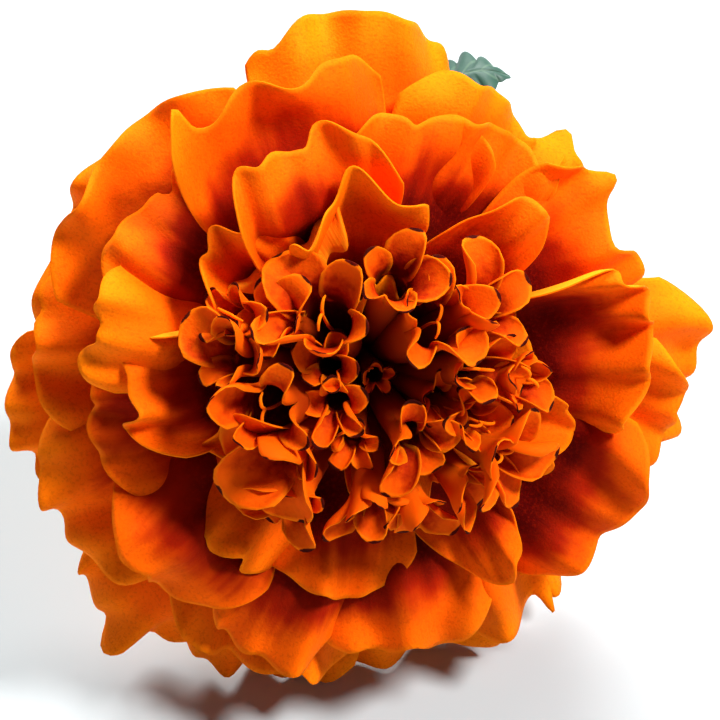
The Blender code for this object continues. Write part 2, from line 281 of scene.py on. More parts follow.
def rest_on_table(points):
    """Head points, with those that would sink into the table laid on it."""
    height = HEAD_CENTRE.z + points @ RISE
    laid = (height + TABLE_GAP + np.hypot(height - TABLE_GAP, TABLE_EASE)) / 2
    near = ease((TABLE_REACH - height) / TABLE_FADE)
    return points + (near * (laid - height))[:, None] * RISE


# ---------------------------------------------------------------- blades


def blade_points(u, v, shape):
    """Points of a petal's or lobe's upper surface about +Z: u runs from foot to rim, v across.

    Also gives how far along the blade each point is, from 0 on the claw to 1 at the blade's
    full length, and about how far in from the rim it is, in millimetres.
    """
    s = shape
    claw, blade = s["claw"], s["blade"]
    far = 1.0 - s["drop"] * np.abs(v) ** s["square"]
    for middle, depth, spread in s["notches"]:
        far = far - depth * np.exp(-(((v - middle) / spread) ** 2))
    reach = u * (claw + blade * far)

    def tilt_at(run):
        along = np.clip((run - claw) / blade, 0.0, 1.0)
        tilt = radians(s["lean"]) * ease((run - 0.75 * claw) / s["bend_run"])
        tilt = tilt + radians(s["curl"]) * ease((along - 0.4) / 0.6)
        tilt = tilt + radians(s["tip"]) * ease((along - 0.72) / 0.28)
        wave = np.sin(s["waves"] * pi * v + s["phase"])
        ruffle = np.sin(s["ruffles"] * pi * v + 2 * s["phase"])
        tilt = tilt + radians(s["wave"]) * along**1.3 * wave
        return tilt + radians(s["ruffle"]) * along**3 * ruffle

    shares = (np.arange(STEPS)[:, None] + 0.5) / STEPS
    tilts = tilt_at(shares * reach)
    out = reach * np.sin(tilts).mean(axis=0)
    up = reach * np.cos(tilts).mean(axis=0)
    tilt = tilt_at(reach)

    along = np.clip((reach - claw) / blade, 0.0, 1.0)
    swell = np.sin(s["belly"] * pi * along) ** s["fullness"]
    half = s["claw_half"] + (s["width"] / 2 - s["claw_half"]) * swell
    grown = ease(along / 0.35)

    def slant_at(w):
        slant = radians(s["foot_bend"]) * (1 - grown) * w + radians(s["bend"]) * grown * w
        slant = slant - radians(s["cw"]) * grown * ease((-w - 0.25) / 0.75)
        return slant + radians(s["ccw"]) * grown * ease((w - 0.25) / 0.75)

    slants = slant_at(shares * v)
    side = half * v * np.cos(slants).mean(axis=0)
    lift = half * v * np.sin(slants).mean(axis=0)
    roll = radians(s["roll"]) * ease(reach / max(claw, 0.5)) + radians(s["twist"]) * along
    side, lift = side * np.cos(roll) - lift * np.sin(roll), side * np.sin(roll) + lift * np.cos(roll)
    lift = lift + s["swells"] * ease(along / 0.5) * unevenness(v * half, reach, s["phase"])

    radius = s["ring"] + out - lift * np.cos(tilt)
    height = s["foot"] + up + lift * np.sin(tilt)
    turn = radians(s["turn"])
    across = radius * cos(turn) - side * sin(turn)
    upward = radius * sin(turn) + side * cos(turn)
    rim = np.minimum((1 - u) * blade, (1 - np.abs(v)) * half)
    return np.stack([across, upward, height], axis=1), along, rim


def unevenness(side, reach, seed):
    """Smooth noise between -1 and 1, for the soft swells of a blade."""
    points = zip(side / SWELL_ACROSS, reach / SWELL_ALONG)
    return np.array([noise.noise(Vector((x, y, 17.0 * seed))) for x, y in points])


def petal_shape(whorl, number, turn, blade, width, own):
    """Every measure of one petal: its whorl's, some seeded variety, and its own."""
    dice = Random(f"{whorl}{number}")
    order = list(WHORLS).index(whorl)
    shape = dict(
        turn=turn,
        blade=blade,
        width=width,
        ring=OUTER_RING - order * RING_STEP,
        foot=OUTER_FOOT + order * RING_STEP,
        claw=-OUTER_FOOT - order * RING_STEP,
        bend_run=BEND_RUN,
        drop=0.22,
        square=3.4,
        belly=0.6,
        fullness=0.8,
        foot_bend=0.0,
        roll=ROLL,
        twist=dice.uniform(-6, 6),
        tip=dice.uniform(-8, 34),
        cw=dice.uniform(-50, 16),
        ccw=dice.uniform(-50, 16),
        phase=dice.uniform(0, 2 * pi),
        ruffle=9.0,
        ruffles=dice.uniform(3.2, 4.6),
        swells=1.5 if whorl in ("fourth", "fifth") else 2.1,
        notches=[
            (dice.uniform(-0.7, 0.7), dice.uniform(0.01, 0.035), dice.uniform(0.08, 0.22))
            for _ in range(3)
        ],
    )
    shape.update(WHORLS[whorl])
    shape["lean"] += dice.uniform(-5, 5)
    shape.update(own)
    return shape


# ---------------------------------------------------------------- meshes


def grid_faces(rows, columns, first=0):
    """Quads over rows + 1 by columns + 1 points, wound to face up out of the flower."""
    corner = np.arange(rows)[:, None] * (columns + 1) + np.arange(columns)[None, :] + first
    corner = corner.ravel()
    return np.stack([corner, corner + columns + 1, corner + columns + 2, corner + 1], axis=1)


def make_mesh(name, points, faces, attributes):
    """A smooth mesh in the part's frame, with float attributes on its points."""
    mesh = bpy.data.meshes.new(name)
    mesh.from_pydata(points.tolist(), [], faces.tolist())
    for label, values in attributes.items():
        layer = mesh.attributes.new(label, "FLOAT", "POINT")
        layer.data.foreach_set("value", np.asarray(values, np.float32))
    mesh.polygons.foreach_set("use_smooth", [True] * len(mesh.polygons))
    mesh.update()
    return mesh


def add_piece(name, mesh, materials, replaced=()):
    """A piece of the part, which stands for the CAD nodes that it replaces."""
    piece = bpy.data.objects.new(name, mesh)
    bpy.context.scene.collection.objects.link(piece)
    for finish in materials:
        mesh.materials.append(finish)
    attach(piece, "root")
    if replaced:
        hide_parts(*replaced)
    return piece


def thicken(piece, thickness, rim_share):
    """A sheet made solid away from its upper face, thinner towards its rim, with two finishes."""
    group = piece.vertex_groups.new(name="body")
    rim = np.empty(len(piece.data.vertices), np.float32)
    piece.data.attributes["rim"].data.foreach_get("value", rim)
    for index, share in enumerate(rim_share + (1 - rim_share) * ease(rim / RIM_RUN)):
        group.add([index], float(share), "REPLACE")
    solid = piece.modifiers.new("thickness", "SOLIDIFY")
    solid.thickness = thickness * MM
    solid.offset = -1.0
    solid.vertex_group = "body"
    solid.material_offset = 1
    solid.material_offset_rim = 0


def sheet_coordinates(rows, columns):
    """u from 0 to 1 along a sheet and v from -1 to 1 across it, at each of its points."""
    u, v = np.meshgrid(np.linspace(0, 1, rows + 1), np.linspace(-1, 1, columns + 1), indexing="ij")
    return u.ravel(), v.ravel()


def make_petals(upper, under):
    u, v = sheet_coordinates(PETAL_ROWS, PETAL_COLUMNS)
    faces = grid_faces(PETAL_ROWS, PETAL_COLUMNS)
    for whorl, rows in PETALS.items():
        for number, (turn, blade, width, own) in enumerate(rows, start=1):
            shape = petal_shape(whorl, number, turn, blade, width, own)
            points, along, rim = blade_points(u, v, shape)
            blotch = shape["blotch"] + Random(f"blotch{whorl}{number}").uniform(-0.06, 0.06)
            mesh = make_mesh(
                f"petal_{whorl}_{number:02d}",
                place(rest_on_table(points)),
                faces,
                dict(along=along, across=v, rim=rim, blotch=np.full(len(u), blotch)),
            )
            node = f"{whorl}_petal_{number:02d}"
            petal = add_piece(mesh.name, mesh, [upper, under], [node])
            thicken(petal, PETAL_THICKNESS, 0.5)


# ---------------------------------------------------------------- florets


def tube_frame(t, foot_out, mouth_out, mouth_height, tilt):
    """A floret tube's middle line in the head's radial plane, and its slant, at shares t of it."""
    rise = mouth_height - FLORET_FOOT
    end = radians(tilt)
    pull = 0.55 * rise
    mouth_out = mouth_out * FLORET_SPREAD
    out = (
        foot_out * (1 - t) ** 3
        + 3 * foot_out * (1 - t) ** 2 * t
        + 3 * (mouth_out - pull * sin(end)) * (1 - t) * t**2
        + mouth_out * t**3
    )
    up = (
        FLORET_FOOT * (1 - t) ** 3
        + 3 * (FLORET_FOOT + pull) * (1 - t) ** 2 * t
        + 3 * (mouth_height - pull * cos(end)) * (1 - t) * t**2
        + mouth_height * t**3
    )
    return out, up, end * ease(t)


def lobe_shape(dice, length, turn, throat, lobes):
    """One lobe: a small blade about the floret's own axis."""
    return dict(
        turn=turn,
        ring=throat,
        foot=0.0,
        claw=0.0,
        blade=length,
        width=length * dice.uniform(0.62, 0.95),
        claw_half=throat * pi / lobes,
        bend_run=length * 0.7,
        lean=dice.uniform(22, 74),
        curl=dice.uniform(-30, 45),
        tip=dice.uniform(-40, 40),
        drop=0.38,
        square=2.3,
        belly=0.72,
        fullness=0.9,
        foot_bend=180 / lobes,
        bend=dice.uniform(25, 75),
        cw=dice.uniform(-10, 75),
        ccw=dice.uniform(-10, 75),
        roll=0.0,
        twist=dice.uniform(-20, 20),
        wave=dice.uniform(0, 8),
        waves=1.2,
        phase=dice.uniform(0, 2 * pi),
        ruffle=0.0,
        ruffles=3.0,
        swells=0.3,
        notches=[],
    )


def tube_points(t, angle, floret):
    """Points of a floret's tube at shares t of its length, at an angle round it."""
    turn, foot_out, mouth_out, mouth_height, tilt, throat = floret
    outward, sideways, axis = radial_frame(turn)
    radius = TUBE_RADIUS + (throat - TUBE_RADIUS) * ease((t - 0.35) / 0.65)
    out, up, slant = tube_frame(t, foot_out, mouth_out, mouth_height, tilt)
    in_plane = radius * np.cos(angle)
    return (
        (out + in_plane * np.cos(slant))[:, None] * outward
        + (radius * np.sin(angle))[:, None] * sideways
        + (up - in_plane * np.sin(slant))[:, None] * axis
    )


def radial_frame(turn):
    """The directions outward from the head's axis, sideways, and along the axis."""
    radial = radians(turn)
    outward = np.array([cos(radial), sin(radial), 0.0])
    sideways = np.array([-sin(radial), cos(radial), 0.0])
    return outward, sideways, np.array([0.0, 0.0, 1.0])


def floret_mesh(name, seed, turn, foot_out, mouth_out, mouth_height, tilt, length, throat, lobes):
    """A tube that opens into lobes. Those that face outward tend to be longer."""
    dice = Random(f"floret{seed}")
    spin = dice.uniform(0, 360 / lobes)
    points, faces, along, rim, tip = [], [], [], [], []
    outward, sideways, axis = radial_frame(turn)
    end = radians(tilt)
    tangent = sin(end) * outward + cos(end) * axis
    normal = cos(end) * outward - sin(end) * axis
    mouth = mouth_out * FLORET_SPREAD * outward + mouth_height * axis
    u, v = sheet_coordinates(LOBE_ROWS, LOBE_COLUMNS)
    tube_t, tube_v = sheet_coordinates(TUBE_ROWS, LOBE_COLUMNS)
    below_mouth = tube_t < 1.0
    tube_t, tube_v = tube_t[below_mouth], tube_v[below_mouth]
    floret = (turn, foot_out, mouth_out, mouth_height, tilt, throat)
    for lobe in range(lobes):
        lobe_turn = spin + lobe * 360 / lobes
        facing = 0.5 + 0.5 * cos(radians(lobe_turn))
        reach = length * (0.82 + 0.26 * facing) * dice.uniform(0.8, 1.25)
        shape = lobe_shape(dice, reach, lobe_turn, throat, lobes)
        local, lobe_along, lobe_rim = blade_points(u, v, shape)
        tube = tube_points(tube_t, radians(lobe_turn) + tube_v * pi / lobes, floret)
        blade = mouth + local[:, :1] * normal + local[:, 1:2] * sideways + local[:, 2:] * tangent
        first = sum(len(part) for part in points)
        points.append(np.concatenate([tube, blade]))
        faces.append(grid_faces(TUBE_ROWS + LOBE_ROWS, LOBE_COLUMNS, first))
        along.append(np.concatenate([tube_t - 1.0, lobe_along]))
        rim.append(np.concatenate([np.full(len(tube), FAR_FROM_RIM), lobe_rim]))
        apex = np.hypot((1 - u) * reach * 1.5, v * shape["width"] * 0.3)
        tip.append(np.concatenate([np.full(len(tube), FAR_FROM_TIP), apex]))
    attributes = dict(
        along=np.concatenate(along), rim=np.concatenate(rim), tip=np.concatenate(tip)
    )
    attributes["tint"] = np.full(len(attributes["tip"]), dice.random())
    mesh = make_mesh(name, place(np.concatenate(points)), np.concatenate(faces), attributes)
    weld(mesh)
    return mesh


def weld(mesh):
    """Joins points that lie in one place, such as a tube's seam."""
    bm = bmesh.new()
    bm.from_mesh(mesh)
    bmesh.ops.remove_doubles(bm, verts=bm.verts, dist=1e-6)
    bm.to_mesh(mesh)
    bm.free()


def make_florets(upper, under):
    for number, (*measures, node) in enumerate(FLORETS, start=1):
        mesh = floret_mesh(f"floret_{number:02d}", number, *measures)
        replaced = [f"disc_floret_{node:02d}"] if node else []
        floret = add_piece(mesh.name, mesh, [upper, under], replaced)
        thicken(floret, FLORET_WALL, 0.6)


def make_styles(finish):
    """A thin stalk and two arms that curl apart, out of some of the florets."""
    for number, height in STYLES.items():
        dice = Random(f"style{number}")
        turn, _, mouth_out, mouth_height, tilt = FLORETS[number - 1][:5]
        end = radians(tilt)
        outward, _, axis = radial_frame(turn)
        tangent = sin(end) * outward + cos(end) * axis
        mouth = mouth_out * FLORET_SPREAD * outward + mouth_height * axis
        spin = dice.uniform(0, 2 * pi)
        apart = cos(spin) * np.cross(tangent, outward)
        apart = apart + sin(spin) * np.cross(tangent, np.cross(tangent, outward))
        apart /= np.linalg.norm(apart)
        fork = mouth + tangent * height + 0.3 * apart * dice.uniform(-1, 1)
        points, faces, first = [], [], 0
        stalk = [mouth - STYLE_ROOT * tangent, mouth + 0.3 * height * tangent, fork]
        arm_route = [(0.0, 0.0), (0.5, 0.35), (0.6, 0.95), (0.2, 1.35)]  # up, and apart
        arms = [
            [fork + up * tangent + way * out * apart for up, out in arm_route] for way in (-1, 1)
        ]
        sides = 10
        for line in [stalk] + arms:
            path = spline(line, 6)
            radii = STYLE_RADIUS * (1 - 0.45 * np.linspace(0, 1, len(path)) ** 3)
            ring, _ = tube_around(path, radii, sides, 2, 0.1)
            faces.append(grid_faces(len(path) - 1, sides, first))
            points.append(ring)
            first += len(ring)
        points = np.concatenate(points)
        mesh = make_mesh(f"style_{number:02d}", place(points), np.concatenate(faces), {})
        weld(mesh)
        add_piece(mesh.name, mesh, [finish])


# ---------------------------------------------------------------- cup, stem and leaf


def spline(points, steps):
    """A smooth path through the points, with so many steps between each two."""
    points = np.array(points, float)
    runs = np.linalg.norm(np.diff(points, axis=0), axis=1)
    slopes = np.diff(points, axis=0) / runs[:, None]
    before, after = runs[:-1, None], runs[1:, None]
    inner = (slopes[:-1] * after + slopes[1:] * before) / (before + after)
    tangents = np.concatenate([slopes[:1], inner, slopes[-1:]])
    path = []
    for k, run in enumerate(runs):
        t = np.linspace(0, 1, steps, endpoint=False)[:, None]
        path.append(
            points[k] * (2 * t**3 - 3 * t**2 + 1)
            + tangents[k] * run * (t**3 - 2 * t**2 + t)
            + points[k + 1] * (3 * t**2 - 2 * t**3)
            + tangents[k + 1] * run * (t**3 - t**2)
        )
    return np.concatenate(path + [points[-1:]])


def cup_rows(angle, bract):
    """The cup's outer wall, row by row: radius and height round it."""
    profile = spline(CUP_PROFILE, CUP_STEPS)
    rows = []
    for (radius, height), t in zip(profile, np.linspace(0, 1, len(profile))):
        rib = RIB_HEIGHT * bract**0.6 * sin(pi * min(t * 1.05, 1.0)) ** 0.7 - RIB_SINK
        fine = FINE_RIB_HEIGHT * np.sin(angle * CUP_TEETH * 5) * t
        tooth = bract**0.8 * ease((t - 0.72) / 0.28)
        inward = 0.25 * tooth * ease((t - 0.9) / 0.1)
        rows.append((radius + rib * min(1.0, 3 * t) + fine - inward, height + TOOTH_LENGTH * tooth))
    return rows


def make_cup(finish):
    """Fused green bracts: a ribbed cup with a toothed mouth, and its inner wall."""
    angle = np.linspace(0, 2 * pi, CUP_COLUMNS + 1)
    bract = np.abs(np.sin(angle * CUP_TEETH / 2))
    rows = cup_rows(angle, bract)
    along = list(np.linspace(0, 1, len(rows)))
    middle = np.zeros_like(angle)
    lining = [(radius - CUP_WALL, height - 0.02) for radius, height in rows[:-LINING_DEPTH:-LINING_STEP]]
    lining.append((middle, rows[-LINING_DEPTH][1]))
    rows = [(middle, np.full_like(angle, CUP_BOTTOM))] + rows + lining
    along = [0.0] + along + [0.5] * len(lining)
    points = np.concatenate([np.stack([r * np.cos(angle), r * np.sin(angle), h], axis=1) for r, h in rows])
    attributes = dict(along=np.repeat(along, CUP_COLUMNS + 1), across=np.tile(bract, len(rows)))
    faces = grid_faces(len(rows) - 1, CUP_COLUMNS)[:, ::-1]
    mesh = make_mesh("cup", place(points), faces, attributes)
    weld(mesh)
    add_piece("cup", mesh, [finish], ["involucre"])


def tube_around(path, radii, columns, ridges, depth):
    """Rings of points round a path, with ridges along it, and a mark of where those stand."""
    tangents = np.gradient(path, axis=0)
    tangents /= np.linalg.norm(tangents, axis=1)[:, None]
    side = np.cross(tangents, [0.0, 0.0, 1.0])
    side /= np.linalg.norm(side, axis=1)[:, None]
    top = np.cross(side, tangents)
    angle = np.linspace(0, 2 * pi, columns + 1)
    swell = 1 - depth + depth * np.cos(ridges * angle)
    rings = []
    for centre, a, b, radius in zip(path, side, top, radii):
        ring = radius * swell[:, None] * (np.cos(angle)[:, None] * a + np.sin(angle)[:, None] * b)
        rings.append(centre + ring)
    return np.concatenate(rings), np.tile(np.cos(ridges * angle), len(path))


def make_stem(finish):
    """A ridged stem, thicker at its neck, from the cup down to its cut end."""
    neck = np.array([[0.0, 0.0, -run] for run in NECK_RUNS]) @ TIP_BACK.T + np.array(HEAD_CENTRE)
    rest = [(HEAD_CENTRE.x + x, HEAD_CENTRE.y + back, height) for x, back, height in STEM_ROUTE]
    path = spline(list(neck) + rest, 14)
    t = np.linspace(0, 1, len(path))
    radii = STEM_RADIUS + (NECK_RADIUS - STEM_RADIUS) * (1 - ease(t / 0.3))
    radii = radii + 0.05 * np.sin(17 * t) * ease(t / 0.4)
    ring = STEM_COLUMNS + 1
    points, ridge = tube_around(path, radii, STEM_COLUMNS, STEM_RIDGES, 0.035)
    along = np.repeat(t, ring)
    last, centre = points[-ring:], path[-1]
    back = (path[-2] - centre) / np.linalg.norm(path[-2] - centre)
    for share, depth, mark in STEM_CUT:
        points = np.concatenate([points, centre + (last - centre) * share + back * depth])
        along = np.concatenate([along, np.full(ring, mark)])
        ridge = np.concatenate([ridge, ridge[:ring]])
    points = np.concatenate([np.repeat(path[:1], ring, axis=0), points])
    along = np.concatenate([np.zeros(ring), along])
    ridge = np.concatenate([ridge[:ring], ridge])
    faces = grid_faces(len(points) // ring - 1, STEM_COLUMNS)
    mesh = make_mesh("stem", points * MM, faces, dict(along=along, across=ridge))
    weld(mesh)
    add_piece("stem", mesh, [finish], ["peduncle"])


def leaf_half_width(u, v):
    """Half the leaf's width at u, broader past its middle and with teeth along its margin."""
    lobes = 0.62 + 0.38 * np.cos(4.6 * (u - 0.62)) * np.abs(v) ** 0.7
    half = 0.6 + LEAF_WIDTH / 2 * np.sin(pi * u**0.8) ** 1.4 * lobes
    half = np.where(u < 0.2, 0.6 + (half - 0.6) * ease(u / 0.2), half)
    tooth = np.abs(np.sin(LEAF_TEETH * pi * u**0.9)) ** 0.7
    return half * (1 - 0.34 * (1 - tooth) * ease(u / 0.25))


def make_leaf(finish):
    """A small toothed leaf that arches up beside the stem."""
    u, v = sheet_coordinates(LEAF_ROWS, LEAF_COLUMNS)
    half = leaf_half_width(u, v)
    slant = 0.10 * np.abs(v) * np.sin(pi * u)
    x = HEAD_CENTRE.x + LEAF_JOINT[0] + LEAF_START + LEAF_SPAN * (u + slant)
    y = HEAD_CENTRE.y + LEAF_JOINT[1] + v * half
    between_veins = 1 - (0.5 + 0.5 * np.cos(2 * LEAF_TEETH * pi * (u**0.9 - 0.09 * np.abs(v))))
    groove = 0.16 * np.exp(-((v / 0.07) ** 2)) + 0.07 * between_veins * np.abs(v) ** 0.3
    z = LEAF_JOINT[2] + LEAF_RISE * np.sin(0.68 * pi * u) - 1.0 * v * v * np.sin(pi * u)
    z = z - groove * ease(u / 0.1) + 0.25 * np.sin(9 * u + 2 * v) * np.abs(v)
    rim = np.minimum((1 - u) * 14, (1 - np.abs(v)) * half)
    mesh = make_mesh(
        "leaf_blade",
        np.stack([x, y, z], axis=1) * MM,
        grid_faces(LEAF_ROWS, LEAF_COLUMNS),
        dict(along=u, across=v, veins=between_veins, rim=rim),
    )
    leaf = add_piece("leaf_blade", mesh, [finish, finish], ["leaf"])
    thicken(leaf, LEAF_THICKNESS, 0.5)


# ---------------------------------------------------------------- materials


class Nodes:
    """A short way to build a node material."""

    def __init__(self, name):
        self.material = bpy.data.materials.new(name)
        self.material.use_nodes = True
        self.tree = self.material.node_tree
        self.shader = self.tree.nodes["Principled BSDF"]

    def add(self, kind, inputs=(), **settings):
        node = self.tree.nodes.new(kind)
        for key, value in settings.items():
            setattr(node, key, value)
        for socket, value in dict(inputs).items():
            self.feed(node.inputs[socket], value)
        return node

    def feed(self, socket, value):
        if isinstance(value, bpy.types.NodeSocket):
            self.tree.links.new(value, socket)
        else:
            socket.default_value = value

    def attribute(self, name):
        return self.add("ShaderNodeAttribute", attribute_name=name).outputs["Fac"]

    def math(self, operation, a, b=0.0):
        return self.add("ShaderNodeMath", {0: a, 1: b}, operation=operation).outputs[0]

    def sway(self, value, amount):
        """A noise value about its middle, times amount."""
        return self.math("MULTIPLY", self.math("SUBTRACT", value, 0.5), amount)

    def noise(self, vector, scale, detail=2.0, roughness=0.5):
        inputs = {"Vector": vector, "Scale": scale, "Detail": detail, "Roughness": roughness}
        return self.add("ShaderNodeTexNoise", inputs).outputs["Fac"]

    def place(self):
        """Where a point is in the part, in metres."""
        return self.add("ShaderNodeTexCoord").outputs["Object"]

    def between(self, value, low, high):
        """0 below low, 1 above high, eased between."""
        inputs = {"Value": value, "From Min": low, "From Max": high}
        node = self.add("ShaderNodeMapRange", inputs, interpolation_type="SMOOTHSTEP")
        return node.outputs["Result"]

    def mix(self, share, a, b):
        node = self.add("ShaderNodeMix", {0: share}, data_type="RGBA")
        self.feed(node.inputs[6], a)
        self.feed(node.inputs[7], b)
        return node.outputs[2]

    def vector(self, x, y, z):
        return self.add("ShaderNodeCombineXYZ", {0: x, 1: y, 2: z}).outputs[0]

    def bump(self, height, distance, strength=1.0, under=None):
        node = self.add("ShaderNodeBump", {"Height": height, "Strength": strength})
        node.inputs["Distance"].default_value = distance
        if under is not None:
            self.feed(node.inputs["Normal"], under)
        return node.outputs["Normal"]

    def finish(self, colour, normal=None, **values):
        """Feeds the shader, with a socket's name in values written with _ for a space."""
        self.feed(self.shader.inputs["Base Color"], colour)
        if normal is not None:
            self.feed(self.shader.inputs["Normal"], normal)
        for name, value in values.items():
            self.shader.inputs[name.replace("_", " ")].default_value = value
        return self.material


def petal_flesh(nodes):
    """Settings of the thin, velvety, light-passing flesh of petals, florets and styles."""
    shader = nodes.shader
    shader.inputs["Roughness"].default_value = 0.68
    shader.inputs["Subsurface Weight"].default_value = 0.15
    shader.inputs["Subsurface Radius"].default_value = (1.0, 0.22, 0.03)
    shader.inputs["Subsurface Scale"].default_value = 0.0012
    shader.inputs["Specular IOR Level"].default_value = 0.02
    shader.inputs["Sheen Weight"].default_value = 0.03
    shader.inputs["Sheen Roughness"].default_value = 0.45
    shader.inputs["Sheen Tint"].default_value = (1.0, 0.22, 0.01, 1.0)


# ---- Petal colours ----
MAROON = (0.085, 0.0015, 0.001, 1.0)
RED = (0.36, 0.012, 0.0008, 1.0)
ORANGE = (0.94, 0.115, 0.001, 1.0)
GOLD = (1.0, 0.20, 0.0015, 1.0)
# painted shade, in part: an orange darker than ORANGE for the florets, standing partly for the shade in the
# flower's middle and partly for their own colour
DEEP_ORANGE_AND_SHADE = (0.80, 0.088, 0.001, 1.0)
PALE = (1.0, 0.30, 0.008, 1.0)
DARK_TIP = (0.03, 0.003, 0.002, 1.0)


def petal_upper():
    """Deep red at the claw, feathering along the veins into orange, with a golden rim and a thin paler line
    along the edge, which is partly the margin's colour and partly a painted highlight.
    """
    nodes = Nodes("petal_upper")
    along = nodes.attribute("along")
    across = nodes.attribute("across")
    rim = nodes.attribute("rim")
    blotch = nodes.attribute("blotch")
    seed = nodes.math("MULTIPLY", blotch, 97.0)
    streaks = nodes.noise(nodes.vector(nodes.math("MULTIPLY", across, 4.5), along, seed), 1.6, 3.0, 0.5)
    clouds = nodes.noise(nodes.place(), 160.0, 3.0)
    edge = nodes.math("POWER", nodes.math("ABSOLUTE", across), 2.0)
    reach = nodes.math("SUBTRACT", along, blotch)
    reach = nodes.math("ADD", reach, nodes.math("MULTIPLY", edge, 0.26))
    reach = nodes.math("ADD", reach, nodes.sway(streaks, 0.15))
    reach = nodes.math("ADD", reach, nodes.sway(clouds, 0.40))
    colour = nodes.mix(nodes.between(reach, -0.12, 0.12), MAROON, RED)
    colour = nodes.mix(nodes.between(reach, 0.04, 0.24), colour, ORANGE)
    colour = nodes.mix(nodes.between(reach, 0.22, 0.60), colour, GOLD)
    mottle = nodes.math("MULTIPLY", nodes.between(clouds, 0.45, 0.75), 0.22)
    colour = nodes.mix(mottle, colour, RED)
    specks = nodes.noise(nodes.place(), 3600.0, 3.0, 0.6)
    colour = nodes.mix(nodes.math("MULTIPLY", nodes.between(specks, 0.48, 0.68), 0.24), colour, RED)
    # painted highlight, in part: a thin paler line along the rim, mixed towards gold, over the petal's own
    # golden margin
    pale = nodes.math("SUBTRACT", 1.0, nodes.between(rim, 0.05, 0.45))
    colour = nodes.mix(nodes.math("MULTIPLY", pale, 0.45), colour, GOLD)
    vein_place = nodes.vector(nodes.math("MULTIPLY", across, 26.0), nodes.math("MULTIPLY", along, 1.5), seed)
    veins = nodes.noise(vein_place, 1.0, 2.0)
    grain = nodes.noise(nodes.place(), 5200.0, 2.0)
    relief = nodes.bump(veins, 0.00005, 0.5)
    relief = nodes.bump(grain, 0.00007, 0.8, relief)
    petal_flesh(nodes)
    return nodes.finish(colour, relief)


def petal_under():
    """The paler, plainer side, in yellow orange."""
    nodes = Nodes("petal_under")
    along = nodes.attribute("along")
    clouds = nodes.noise(nodes.place(), 220.0, 3.0)
    colour = nodes.mix(nodes.between(along, 0.0, 0.6), (0.50, 0.13, 0.01, 1.0), PALE)
    colour = nodes.mix(nodes.math("MULTIPLY", clouds, 0.45), colour, ORANGE)
    across = nodes.attribute("across")
    veins = nodes.noise(nodes.vector(nodes.math("MULTIPLY", across, 30.0), along, 0.0), 1.0, 2.0)
    petal_flesh(nodes)
    return nodes.finish(colour, nodes.bump(veins, 0.0001, 0.7))


def floret_upper():
    """Maroon throats and darker lobe bases, partly pigment and partly painted shade, mottled orange lobes
    with paler rims that are partly a painted highlight, and small dark tips.
    """
    nodes = Nodes("floret_upper")
    along = nodes.attribute("along")
    rim = nodes.attribute("rim")
    tint = nodes.attribute("tint")
    clouds = nodes.noise(nodes.place(), 420.0, 3.0)
    fine = nodes.noise(nodes.place(), 1500.0, 3.0)
    reach = nodes.math("ADD", along, nodes.sway(clouds, 0.7))
    reach = nodes.math("ADD", reach, nodes.sway(fine, 0.5))
    reach = nodes.math("ADD", reach, nodes.sway(tint, 0.2))
    # painted shade, in part: maroon and red towards each lobe's base, then the darker orange, standing for
    # the shade deep in the flower's middle as well as the florets' own colour
    colour = nodes.mix(nodes.between(reach, 0.0, 0.50), MAROON, RED)
    colour = nodes.mix(nodes.between(reach, 0.26, 0.85), colour, DEEP_ORANGE_AND_SHADE)
    # painted highlight, in part: a paler line along each lobe's rim, mixed towards gold, over the lobe's own
    # paler margin
    pale = nodes.math("SUBTRACT", 1.0, nodes.between(rim, 0.05, 0.55))
    colour = nodes.mix(nodes.math("MULTIPLY", pale, 0.55), colour, GOLD)
    spot = nodes.math("ADD", nodes.attribute("tip"), nodes.math("MULTIPLY", clouds, 0.5))
    colour = nodes.mix(nodes.between(spot, 0.60, 0.72), DARK_TIP, colour)
    grain = nodes.noise(nodes.place(), 4200.0, 3.0)
    relief = nodes.bump(fine, 0.00008, 0.5)
    petal_flesh(nodes)
    return nodes.finish(colour, nodes.bump(grain, 0.00007, 0.8, relief))


def floret_under():
    """Maroon below the mouth and a duller orange on the backs of the lobes."""
    nodes = Nodes("floret_under")
    along = nodes.attribute("along")
    clouds = nodes.noise(nodes.place(), 420.0, 3.0)
    colour = nodes.mix(nodes.between(along, -0.30, 0.55), MAROON, ORANGE)
    colour = nodes.mix(nodes.math("MULTIPLY", clouds, 0.4), colour, RED)
    spot = nodes.math("ADD", nodes.attribute("tip"), nodes.math("MULTIPLY", clouds, 0.3))
    colour = nodes.mix(nodes.between(spot, 0.30, 0.46), DARK_TIP, colour)
    petal_flesh(nodes)
    return nodes.finish(colour)


def style_skin():
    """Fine orange flesh, mottled with gold."""
    nodes = Nodes("style_skin")
    clouds = nodes.noise(nodes.place(), 1200.0, 2.0)
    petal_flesh(nodes)
    return nodes.finish(nodes.mix(clouds, ORANGE, GOLD), nodes.bump(clouds, 0.00005, 0.5))


